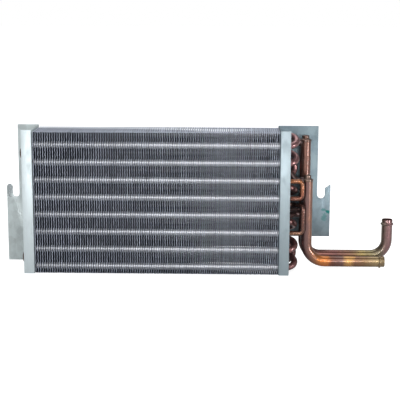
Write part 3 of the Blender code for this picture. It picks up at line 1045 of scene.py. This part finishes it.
@dataclass
class CoilTubes:
    """Hairpins, return bends, crossovers and header stubs with their brazed joints."""

    coil: Coil
    hairpins: tuple[Legs, ...] = (
        ((1, 1), (1, 2)),
        ((2, 1), (3, 1)),
        ((2, 2), (3, 2)),
        ((1, 3), (2, 3)),
        ((3, 3), (3, 4)),
        ((1, 4), (2, 4)),
        ((1, 5), (2, 5)),
        ((2, 6), (3, 5)),
        ((3, 6), (3, 7)),
        ((1, 6), (2, 7)),
        ((1, 7), (1, 8)),
        ((2, 8), (3, 8)),
    )
    return_bends: tuple[Legs, ...] = (
        ((1, 1), (2, 1)),
        ((1, 2), (2, 2)),
        ((3, 2), (3, 3)),
        ((2, 4), (3, 4)),
        ((2, 6), (3, 6)),
        ((1, 7), (2, 7)),
        ((3, 7), (3, 8)),
        ((1, 8), (2, 8)),
    )
    wall: float = 0.0004
    bell_radius: float = 0.0053
    bell_length: float = 0.0050
    bell_neck: float = 0.0010
    bell_gap: float = 0.0003
    bell_lip: float = 0.0005
    hairpin_straight: float = 0.0006
    return_straight: float = 0.0115
    inserted: float = 0.0035
    bend_steps: int = 9
    cross_radius: float = 0.0034
    cross_corner: float = 0.0055
    cross_held: float = 0.0012
    cross_neck: float = 0.0014
    cross_reach: float = 0.0329
    skew_knee: float = 0.0220
    skew_reach: float = 0.0344
    skew_rise: float = 0.0015
    stub_corner: float = 0.0075
    stub_knee: float = 0.0130
    stub_step: float = 0.0240
    inlet_shift: float = 0.0060
    inlet_drop: float = 0.01435
    inlet_seat: float = 0.0359
    outlet_seat: float = 0.0342
    collar_radius: float = 0.0056
    collar_length: float = 0.0050
    collar_flare: float = 0.0006
    finishes: dict[str, bpy.types.Material] = field(default_factory=dict)

    @property
    def mouth(self) -> float:
        """Place of the bells' mouths past the right web."""
        return self.coil.sheet + self.coil.stub_out + self.bell_gap

    @property
    def inside(self) -> float:
        """Place past the right web where the ends inside the bells begin."""
        return self.coil.sheet + self.coil.stub_out - self.inserted

    def dress(self) -> None:
        """Make the copper and braze finishes."""
        # The stubs' dark tint is painted shade beside the headers.
        shaded_stub_tint = heat((0.0, 84, 64, 62), (0.5, 78, 58, 56), (1.0, 86, 66, 64))
        pinkish = heat((0.0, 132, 92, 92), (0.5, 138, 96, 92), (1.0, 140, 102, 104))
        tan = heat((0.0, 98, 78, 68), (0.5, 92, 72, 64), (1.0, 102, 80, 70))
        low, high, up = 0.0, self.coil.pattern_top, Axis.HEIGHT
        self.finishes = {
            "tube": TintedCopper("hairpin_copper", up, low, high, tan).make(),
            "stub": TintedCopper("stub_copper", up, low, high, shaded_stub_tint, oxide_share=0.6).make(),
            "bend": TintedCopper("return_bend_copper", up, low, high, pinkish, oxide_share=0.5).make(),
            "crossover": TintedCopper(
                name="crossover_copper",
                axis=up,
                start=0.040,
                end=0.150,
                bands=heat(
                    (0.0, 180, 134, 94),
                    (0.25, 104, 68, 58),
                    (0.62, 96, 60, 50),
                    (0.72, 140, 84, 62),
                    (1.0, 168, 112, 70),
                ),
                roughness=0.25,
            ).make(),
            "braze": BrazeAlloy("braze_alloy", tone(196, 170, 150), tone(96, 72, 64)).make(),
        }

    def _braze_ring(self, name: str, seat: Vector, heading: Vector) -> Piece:
        """Model the alloy that fills the mouth of a bell.

        Args:
            name: The ring's name.
            seat: The middle of the bell's mouth.
            heading: The way out of the bell.

        Returns:
            The closed ring.
        """
        outer, inner = self.bell_radius, self.coil.tube_radius
        lip, proud, fillet = self.bell_lip, 0.00025, 0.0002
        ring = Tube(name, seat - heading * lip, heading, outer + proud / 5, 20)
        ring.profile((lip, outer + proud), (lip, outer + fillet / 2))
        ring.profile((3 * fillet, inner + fillet), (lip, inner))
        return ring.ring()

    def _hairpin(self, number: int, legs: Legs) -> Piece:
        """Model one hairpin, from its bell at the right through the pack and back.

        Args:
            number: The hairpin's number.
            legs: Row and number of its two tubes.

        Returns:
            The hairpin.
        """
        coil = self.coil
        (y1, z1), (y2, z2) = (coil.tube(*leg) for leg in legs)
        corner = math.hypot(y2 - y1, z2 - z1) / 2
        left = -coil.sheet - self.hairpin_straight - corner
        start = coil.past_web(self.mouth, y1, z1)
        tube = Tube(f"hairpin_tube_{number:02d}", start, Vector((-1, 0, 0)), self.bell_radius)
        tube.straight(self.bell_length - self.bell_lip).profile((self.bell_neck, coil.tube_radius))
        path = (coil.at(left, y1, z1), coil.at(left, y2, z2), coil.past_web(self.mouth, y2, z2))
        tube.follow(path, corner, self.bend_steps, short=self.bell_length + self.bell_neck - self.bell_lip)
        tube.profile((self.bell_neck, self.bell_radius)).straight(self.bell_length - self.bell_lip)
        obj = tube.wall(self.wall)
        Bench.paint(obj, self.finishes["tube"])
        return obj

    def _bell_seats(self, *tubes: Place) -> list[Vector]:
        """Return the middle of the bell's mouth of each tube."""
        return [self.coil.past_web(self.mouth, *self.coil.tube(*place)) for place in tubes]

    def _with_braze(self, obj: Piece, finish: str, seats: Sequence[Vector]) -> Piece:
        """Paint a tube and join its braze rings to it.

        Args:
            obj: The tube.
            finish: The name of its copper finish.
            seats: The middles of its bells' mouths.

        Returns:
            The joined piece.
        """
        Bench.paint(obj, self.finishes[finish])
        out = Vector((1, 0, 0))
        rings = [self._braze_ring(f"braze_{index}", seat, out) for index, seat in enumerate(seats)]
        for ring in rings:
            Bench.paint(ring, self.finishes["braze"])
        return Bench.join(obj.name, [obj, *rings])

    def _return_bend(self, number: int, legs: Legs) -> Piece:
        """Model one return bend, its ends inside two bells.

        Args:
            number: The bend's number.
            legs: Row and number of the tubes that it joins.

        Returns:
            The bend with its braze.
        """
        coil = self.coil
        (y1, z1), (y2, z2) = (coil.tube(*leg) for leg in legs)
        corner = math.hypot(y2 - y1, z2 - z1) / 2
        top = self.return_straight + corner
        start = coil.past_web(self.inside, y1, z1)
        tube = Tube(f"return_elbow_{number:02d}", start, Vector((1, 0, 0)), coil.tube_radius)
        path = (coil.past_web(top, y1, z1), coil.past_web(top, y2, z2), coil.past_web(self.inside, y2, z2))
        tube.follow(path, corner, self.bend_steps)
        return self._with_braze(tube.wall(self.wall), "bend", self._bell_seats(*legs))

    def _stub(self, name: str, path: Sequence[Point]) -> Tube:
        """Draw a header stub through corners measured from the right web."""
        points = [self.coil.past_web(*point) for point in path]
        heading = points[1] - points[0]
        tube = Tube(name, points[0], heading, self.coil.tube_radius)
        if len(points) > 2:
            return tube.follow(points[1:], self.stub_corner, 7)
        return tube.straight(heading.length)

    def _crossover(self, name: str, path: Sequence[Point]) -> Tube:
        """Draw a crossover, necked down from the bells at both of its ends."""
        points = [self.coil.past_web(*point) for point in path]
        tube = Tube(name, points[0], points[1] - points[0], self.coil.tube_radius)
        held, neck = self.inserted + self.cross_held, self.cross_neck
        tube.straight(held).profile((neck, self.cross_radius))
        tube.follow(points[1:], self.cross_corner, 7, short=held + neck)
        return tube.profile((neck, self.coil.tube_radius)).straight(held)

    def _crossovers(self) -> list[tuple[Piece, str]]:
        """Model the square crossover and the skewed one below it.

        Returns:
            Each piece with the node that it stands for.
        """
        coil, base = self.coil, self.inside
        square, skewed = ((1, 3), (1, 4)), ((2, 5), (1, 6))
        (y1, z1), (_, z2) = (coil.tube(*place) for place in square)
        reach = self.cross_reach
        upper = ((base, y1, z1), (reach, y1, z1), (reach, y1, z2), (base, y1, z2))
        (y3, z3), (y4, z4) = (coil.tube(*place) for place in skewed)
        knee, reach, turn = self.skew_knee, self.skew_reach, z3 + self.skew_rise
        lower = ((base, y3, z3), (knee, y3, z3), (reach, y4, turn), (reach, y4, z4), (base, y4, z4))
        made = []
        for name, path, tubes in (("upper", upper, square), ("lower", lower, skewed)):
            tube = self._crossover(f"crossover_tube_{name}", path).wall(self.wall)
            made.append((self._with_braze(tube, "crossover", self._bell_seats(*tubes)), f"crossover_{name}"))
        return made

    def _stubs(self) -> list[tuple[Piece, str]]:
        """Model the four short tubes between the bells and the headers.

        Returns:
            Each piece with the node that it stands for.
        """
        coil = self.coil
        high, low, top, bottom = (2, 3), (1, 5), (3, 1), (3, 5)
        (y1, z1), (y2, z2) = coil.tube(*high), coil.tube(*low)
        y3, z3 = y1 - self.inlet_shift, z1 - self.inlet_drop
        knee, step = self.stub_knee, self.stub_step
        seat, outlet_seat = self.inlet_seat - self.collar_length, self.outlet_seat - self.collar_length
        runs = (
            ("inlet_stub_upper", high, ((knee, y1, z1), (step, y3, z3), (seat, y3, z3))),
            ("inlet_stub_lower", low, ((knee, y2, z2), (step, y3, z2), (seat, y3, z2))),
            ("outlet_stub_upper", top, ((outlet_seat, *coil.tube(*top)),)),
            ("outlet_stub_lower", bottom, ((outlet_seat, *coil.tube(*bottom)),)),
        )
        flare = self.collar_flare
        made = []
        for node, place, path in runs:
            tube = self._stub(node.replace("stub", "branch"), ((self.inside, *coil.tube(*place)), *path))
            tube.profile((flare, self.collar_radius), (flare, self.collar_radius + 0.0001))
            tube.straight(self.collar_length - 2 * flare)
            piece = self._with_braze(tube.wall(self.wall), "stub", self._bell_seats(place))
            made.append((piece, node))
        return made

    def build(self) -> None:
        """Model, dress and fasten every coil tube."""
        self.dress()
        for number, legs in enumerate(self.hairpins, start=1):
            Bench.fasten(self._hairpin(number, legs), "copper", f"hairpin_{number:02d}")
        for number, legs in enumerate(self.return_bends, start=1):
            Bench.fasten(self._return_bend(number, legs), "copper", f"return_bend_{number:02d}")
        for piece, node in self._crossovers() + self._stubs():
            Bench.fasten(piece, "copper", node)


@dataclass
class HosePipes:
    """The two headers with their hose pipes, rolled beads and brazed caps."""

    coil: Coil
    radius: float = 0.0080
    wall: float = 0.0011
    inlet_header: float = 0.0414
    inlet_y: float = 0.0270
    inlet_top: float = 0.1369
    inlet_run: float = 0.0153
    inlet_corner: float = 0.0275
    inlet_reach: float = 0.1561
    outlet_header: float = 0.0397
    outlet_y: float = 0.0550
    outlet_top: float = 0.19115
    outlet_run: float = 0.0179
    outlet_corner: float = 0.0240
    outlet_reach: float = 0.1626
    outlet_end: float = 0.0730
    bead_proud: float = 0.0016
    bead_from_end: float = 0.0070
    bead_width: float = 0.0034
    sides: int = 40
    bend_steps: int = 14
    finishes: dict[str, bpy.types.Material] = field(default_factory=dict)

    def dress(self) -> None:
        """Make the heat tinted finishes of both pipes and of their caps."""
        web = self.coil.left_web + self.coil.length
        self.finishes = {
            "inlet": TintedCopper(
                name="inlet_pipe_copper",
                axis=Axis.ALONG,
                start=web + self.inlet_header,
                end=web + self.inlet_reach,
                bands=heat(
                    (0.00, 116, 86, 82),
                    (0.12, 164, 112, 80),
                    (0.19, 204, 122, 58),
                    (0.26, 204, 124, 58),
                    (0.32, 132, 80, 56),
                    (0.38, 114, 76, 64),
                    (0.46, 120, 88, 80),
                    (0.53, 196, 148, 86),
                    (0.58, 200, 150, 84),
                    (0.63, 136, 96, 70),
                    (0.76, 138, 108, 74),
                    (0.88, 158, 136, 98),
                    (1.00, 132, 114, 86),
                ),
                wander=0.06,
                oxide_share=0.25,
            ).make(),
            "outlet": TintedCopper(
                name="outlet_pipe_copper",
                axis=Axis.ALONG,
                start=web + self.outlet_header,
                end=web + self.outlet_reach,
                bands=heat(
                    (0.00, 118, 82, 70),
                    (0.20, 126, 78, 66),
                    (0.40, 120, 72, 66),
                    (0.58, 126, 92, 64),
                    (0.70, 156, 134, 80),
                    (0.82, 132, 120, 84),
                    (0.92, 118, 108, 92),
                    (1.00, 132, 98, 98),
                ),
                wander=0.06,
                oxide_share=0.3,
            ).make(),
            "cap": TintedCopper(
                name="header_cap_copper",
                axis=Axis.HEIGHT,
                start=0.13,
                end=0.20,
                bands=heat((0.0, 126, 104, 92), (1.0, 112, 84, 74)),
            ).make(),
        }

    def _pipe(self, name: str, path: Sequence[Vector], corner: float) -> Piece:
        """Model one header and hose pipe with its bead.

        Args:
            name: The piece's name.
            path: Header top, corners and open end.
            corner: The bends' radius.

        Returns:
            The pipe.
        """
        tube = Tube(name, path[0], path[1] - path[0], self.radius, self.sides)
        half = self.bead_width / 2
        tube.follow(path[1:], corner, self.bend_steps, short=self.bead_from_end + half)
        bead = self.radius + self.bead_proud
        part = self.bead_width / 8
        shoulder = bead - self.bead_proud * 0.35
        tube.profile((part * 1.3, shoulder), (part * 1.5, bead), (part * 2.4, bead))
        tube.profile((part * 1.5, shoulder), (part * 1.3, self.radius))
        rounding = 0.0006
        plain = self.bead_from_end - half - rounding
        tube.profile((plain, self.radius - 0.0001), (rounding, self.radius - 0.0004))
        return tube.wall(self.wall, 40.0)

    def _cap(self, name: str, seat: Vector) -> Piece:
        """Model a cap with a skirt brazed over the header's top, drawn in to a small knob.

        Args:
            name: The piece's name.
            seat: The middle of the header's top edge.

        Returns:
            The cap.
        """
        up = Vector((0, 0, 1))
        radius, skirt = self.radius, self.radius + 0.0004
        cap = Tube(name, seat - up * 0.0030, up, radius + 0.0001, self.sides)
        cap.profile(
            (0.0004, skirt),
            (0.0026, skirt),
            (0.0006, radius * 0.97),
            (0.0005, radius * 0.84),
            (0.0003, radius * 0.70),
            (0.0008, radius * 0.64),
            (0.0028, radius * 0.67),
            (0.0008, radius * 0.63),
            (0.0006, radius * 0.50),
            (0.0003, radius * 0.30),
            (0.0001, radius * 0.10),
        )
        return cap.plug(50.0)

    def build(self) -> None:
        """Model, dress and fasten both pipes and caps."""
        self.dress()
        past = self.coil.past_web
        inlet = (
            past(self.inlet_header, self.inlet_y, self.inlet_top),
            past(self.inlet_header, self.inlet_y, self.inlet_run),
            past(self.inlet_reach, self.inlet_y, self.inlet_run),
        )
        outlet = (
            past(self.outlet_header, self.outlet_y, self.outlet_top),
            past(self.outlet_header, self.outlet_y, self.outlet_run),
            past(self.outlet_reach, self.outlet_y, self.outlet_run),
            past(self.outlet_reach, self.outlet_y, self.outlet_end),
        )
        runs = (
            ("inlet", "tinted_copper", inlet, self.inlet_corner),
            ("outlet", "brown_copper", outlet, self.outlet_corner),
        )
        for side, slot, path, corner in runs:
            pipe = self._pipe(f"{side}_hose_pipe", path, corner)
            Bench.paint(pipe, self.finishes[side])
            Bench.fasten(pipe, slot, f"{side}_pipe")
            cap = self._cap(f"{side}_header_cap", path[0])
            Bench.paint(cap, self.finishes["cap"])
            Bench.fasten(cap, "brown_copper", f"{side}_cap")


# --------------------------------------------------------------------------- end plates


@dataclass
class EndPlates:
    """The two folded galvanised plates, with softened edges and drawn collars round the tubes."""

    coil: Coil
    edge_radius: float = 0.00028
    collar_inner: float = 0.0050
    collar_outer: float = 0.0062
    collar_height: float = 0.0013

    def _softened(self, node: str, name: str) -> Piece:
        """Copy a plate of the frame, merge its triangles and round its edges.

        Args:
            node: The CAD node.
            name: The piece's name.

        Returns:
            The softened plate.
        """
        obj = bpy.data.objects.new(name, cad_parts[node].data.copy())
        bpy.context.scene.collection.objects.link(obj)
        Bench.hold(obj)
        bpy.ops.object.mode_set(mode="EDIT")
        bpy.ops.mesh.select_all(action="SELECT")
        bpy.ops.mesh.remove_doubles(threshold=0.000005)
        bpy.ops.mesh.dissolve_limited(angle_limit=math.radians(1.0))
        bpy.ops.mesh.normals_make_consistent(inside=False)
        Bench.modifier(
            obj,
            "BEVEL",
            width=self.edge_radius,
            segments=2,
            limit_method="ANGLE",
            angle_limit=math.radians(42.0),
        )
        Bench.soften(35.0)
        return obj

    def _collars(self, web: float, side: int) -> Piece:
        """Model one drawn collar and copy it to every tube hole of a web.

        Args:
            web: Place of the web's outer face along the coil.
            side: 1 when the collars point right and -1 when they point left.

        Returns:
            All collars of the web as one object.
        """
        heading = Vector((side, 0, 0))
        first = self.coil.at(web, *self.coil.tube(1, 1))
        collar = Tube("web_collar", first - heading * 0.0003, heading, self.collar_outer, 24)
        middle = (self.collar_inner + self.collar_outer) / 2
        collar.profile(
            (0.0005, self.collar_outer - 0.0001),
            (0.0005, middle + 0.0001),
            (self.collar_height - 0.0005, middle - 0.0002),
            (0.0001, self.collar_inner),
            (-self.collar_height - 0.0004, self.collar_inner),
        )
        obj = collar.ring(40.0)
        made = [obj]
        for place in self.coil.places()[1:]:
            made.append(Bench.copy(obj, self.coil.at(web, *self.coil.tube(*place)) - first))
            Bench.settle()
        return Bench.join("web_collars", made)

    def build(self) -> None:
        """Model, dress and fasten both plates."""
        left = GalvanisedSheet(
            name="left_galvanised",
            light=tone(214, 226, 227),
            dark=tone(192, 202, 203),
            flange=tone(222, 234, 238),
            metallic=0.50,
            painted_bottom_shade=0.16,
            # The grey colour and the patch below paint shadow on the finger of the rear flange.
            stain=tone(150, 158, 162),
            ink_and_shadow_dabs=(InkAndShadowDab(self.coil.left_web - 0.0470, 0.1250, 0.0075, 0.0280, 0.80),),
        )
        web = self.coil.left_web + self.coil.length
        # The right plate is the same galvanised sheet as the left one in darker tones: painted shade,
        # strongest on its web and rear flange.
        right = GalvanisedSheet(
            name="right_galvanised",
            light=tone(134, 150, 157),
            dark=tone(108, 124, 133),
            flange=tone(170, 184, 190),
            painted_bottom_shade=0.12,
            ink_and_shadow_dabs=(
                InkAndShadowDab(web + 0.0760, 0.0812, 0.0042, 0.0030, 0.90),
                InkAndShadowDab(web + 0.0690, 0.0840, 0.0034, 0.0024, 0.50),
                InkAndShadowDab(web + 0.0700, 0.0725, 0.0046, 0.0070, 0.42),
            ),
        )
        webs = {"left": (-self.coil.sheet, -1, left), "right": (self.coil.length + self.coil.sheet, 1, right)}
        for side, (place, way, finish) in webs.items():
            plate = self._softened(f"{side}_end_plate", f"{side}_plate")
            collars = self._collars(place, way)
            plate = Bench.join(f"{side}_plate", [plate, collars])
            Bench.paint(plate, finish.make())
            Bench.fasten(plate, "galvanised_sheet", f"{side}_end_plate")


# --------------------------------------------------------------------------- studio


@dataclass(frozen=True)
class Lamp:
    """A soft rectangular lamp, by its place, what it faces, its sides and its power."""

    name: str
    place: Point
    aim: Point
    width: float
    height: float
    power: float


@dataclass
class Studio:
    """A plain pale floor, white surroundings, soft lamps and the camera."""

    camera_place: Point = (0.03675, -1.5513, 0.3990)
    pitch: float = 10.765
    yaw: float = -1.295
    roll: float = 0.188
    lens: float = 97.245
    sensor: float = 36.0
    world_level: float = 0.66
    glossy_level: float = 0.28
    sight: float = 60.0
    floor_size: float = 24.0
    floor_glow: float = 0.78
    lamps: tuple[Lamp, ...] = (
        Lamp("key", (0.15, -1.80, 1.45), (0.0, 0.0, 0.08), 1.70, 1.10, 12.0),
        Lamp("strip", (0.02, -1.80, 0.30), (0.02, 0.0, 0.08), 1.60, 0.11, 10.0),
        Lamp("side", (0.77, -0.46, 0.17), (0.20, 0.0, 0.10), 0.06, 0.36, 2.2),
        Lamp("top", (0.10, 0.55, 1.60), (0.05, 0.0, 0.08), 1.40, 0.80, 6.0),
    )

    def floor(self) -> None:
        """Lay the floor and give it its pale finish, which keeps the object's shadow."""
        Bench.clear()
        bpy.ops.mesh.primitive_plane_add(size=self.floor_size, location=(0.0, 0.0, 0.0))
        plane = Bench.adopt("studio_floor")
        sheet = NodeSheet("floor_paper")
        grain = sheet.noise(300.0, 2.0)
        seen = sheet.node("ShaderNodeLightPath").outputs["Is Camera Ray"]
        lift = Signal(sheet, seen) * self.floor_glow
        material = sheet.dress(
            Base_Color=sheet.mix(grain * 0.1, tone(204, 204, 204), tone(198, 198, 198)),
            Roughness=0.9,
            Emission_Color=sheet.mix(lift, (0.0, 0.0, 0.0, 1.0), (1.0, 1.0, 1.0, 1.0)),
            Emission_Strength=1.0,
        )
        Bench.paint(plane, material)

    def world(self) -> None:
        """Light the object from all round, and show white where the camera looks past it."""
        world = bpy.data.worlds.new("studio_world")
        bpy.context.scene.world = world
        world.use_nodes = True
        tree = world.node_tree
        background = tree.nodes["Background"]
        background.inputs["Color"].default_value = (1.0, 1.0, 1.0, 1.0)
        path = tree.nodes.new("ShaderNodeLightPath")
        glossy = tree.nodes.new("ShaderNodeMapRange")
        glossy.inputs["To Min"].default_value = self.world_level
        glossy.inputs["To Max"].default_value = self.glossy_level
        tree.links.new(path.outputs["Is Glossy Ray"], glossy.inputs["Value"])
        level = tree.nodes.new("ShaderNodeMapRange")
        level.inputs["To Max"].default_value = 1.0
        tree.links.new(glossy.outputs["Result"], level.inputs["To Min"])
        tree.links.new(path.outputs["Is Camera Ray"], level.inputs["Value"])
        tree.links.new(level.outputs["Result"], background.inputs["Strength"])

    def lights(self) -> None:
        """Hang the soft lamps."""
        for lamp in self.lamps:
            Bench.clear()
            bpy.ops.object.light_add(type="AREA", location=lamp.place)
            light = bpy.context.object
            light.name = f"lamp_{lamp.name}"
            light.data.shape = "RECTANGLE"
            light.data.size = lamp.width
            light.data.size_y = lamp.height
            light.data.energy = lamp.power
            facing = Vector(lamp.aim) - Vector(lamp.place)
            light.rotation_euler = facing.to_track_quat("-Z", "Y").to_euler()

    def camera(self) -> None:
        """Stand the camera where the photograph was taken from."""
        Bench.clear()
        pitch, yaw, roll = (math.radians(angle) for angle in (self.pitch, self.yaw, self.roll))
        forward = Vector((math.sin(yaw) * math.cos(pitch), math.cos(yaw) * math.cos(pitch), -math.sin(pitch)))
        level = Vector((math.cos(yaw), -math.sin(yaw), 0.0))
        upright = level.cross(forward)
        right = level * math.cos(roll) + upright * math.sin(roll)
        up = upright * math.cos(roll) - level * math.sin(roll)
        bpy.ops.object.camera_add(location=self.camera_place)
        camera = bpy.context.object
        camera.rotation_euler = Matrix((right, up, -forward)).transposed().to_euler()
        camera.data.sensor_width = self.sensor
        camera.data.lens = self.lens
        camera.data.clip_end = self.sight
        bpy.context.scene.camera = camera

    def build(self) -> None:
        """Set up the studio."""
        self.floor()
        self.world()
        self.lights()
        self.camera()
        bpy.context.scene.view_settings.view_transform = "Standard"
        LOG.info("studio: %d lamps", len(self.lamps))


def main() -> None:
    """Build every sub-assembly in order."""
    logging.basicConfig(level=logging.INFO, format="%(name)s %(message)s")
    coil = Coil()
    for part in (FinPack(coil), EndPlates(coil), CoilTubes(coil), HosePipes(coil), Studio()):
        LOG.info("building %s", type(part).__name__)
        part.build()


if __name__ == "__main__":
    main()
